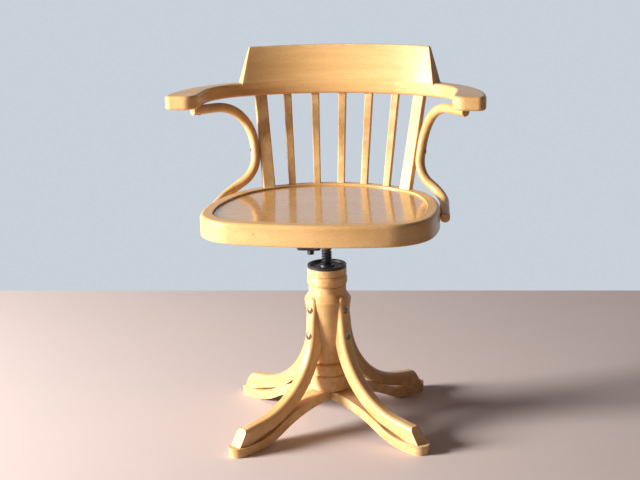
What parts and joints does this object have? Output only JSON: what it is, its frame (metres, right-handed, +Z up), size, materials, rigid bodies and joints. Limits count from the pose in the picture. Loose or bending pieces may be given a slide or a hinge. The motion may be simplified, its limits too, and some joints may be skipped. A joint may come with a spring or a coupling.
{
  "type": "bankers swivel chair",
  "caption": "Wooden swivel armchair with bent arms, slatted back and round-cornered panel seat on a screw column with curved legs.",
  "frame": {"origin": "under the middle of the chair's footprint, on the floor", "axes": "+Z up, the sitter faces -Y, +X to the right of someone who looks at the front of the chair"},
  "size_m": [0.612, 0.441, 0.716],
  "materials": {
    "beech": "honey beech under gloss lacquer",
    "seat_ply": "beech veneer under high gloss lacquer",
    "batten_wood": "bare beech",
    "black_iron": "black enamelled iron",
    "dark_steel": "dark oiled steel",
    "bronze": "plain bronze"
  },
  "bodies": {
    "base": {"cross_rail_a": "beech", "cross_rail_b": "beech", "column": "beech", "leg_back_right": "beech", "leg_back_left": "beech", "leg_front_left": "beech", "leg_front_right": "beech", "leg_bolts": "dark_steel", "foot_screws": "dark_steel", "centre_bolt": "dark_steel", "column_nut": "black_iron", "nut_screws": "dark_steel"},
    "screw_lift": {"swivel_bush": "bronze"},
    "spindle": {"spindle": "black_iron", "stop_washer": "dark_steel", "stop_screw": "dark_steel"},
    "seat": {"seat_hub": "black_iron", "spider_screws": "dark_steel", "lever_pivot_bolt": "dark_steel", "batten_front": "batten_wood", "batten_back": "batten_wood", "batten_screws": "dark_steel", "seat_rim": "beech", "seat_panel": "seat_ply", "post_left": "beech", "post_right": "beech", "back_slat_1": "beech", "back_slat_2": "beech", "back_slat_3": "beech", "back_slat_4": "beech", "back_slat_5": "beech", "back_rail": "beech", "arm_left": "beech", "arm_right": "beech", "crest_rail": "beech", "arm_support_left": "beech", "arm_support_right": "beech", "support_screws": "dark_steel"},
    "lever": {"lock_lever": "black_iron"}
  },
  "joints": [
    {"name": "height", "type": "slide", "parent": "base", "child": "screw_lift", "axis": [0, 0, 1], "range_m": [-0.015, 0.08]},
    {"name": "spindle_turn", "type": "hinge", "parent": "screw_lift", "child": "spindle", "pos_m": [0, -0.00845, 0.3], "axis": [0, 0, 1], "range_deg": [-1080, 5760]},
    {"name": "seat_swivel", "type": "hinge", "parent": "screw_lift", "child": "seat", "pos_m": [0, -0.00845, 0.38], "axis": [0, 0, 1], "continuous": true},
    {"name": "lock_lever", "type": "hinge", "parent": "seat", "child": "lever", "pos_m": [-0.031, -0.00845, 0.35], "axis": [0, 0, 1], "range_deg": [-25, 25]}
  ],
  "couplings": [
    {"joint": "spindle_turn", "follows": "height", "rad_per_m": 1256.6}
  ]
}
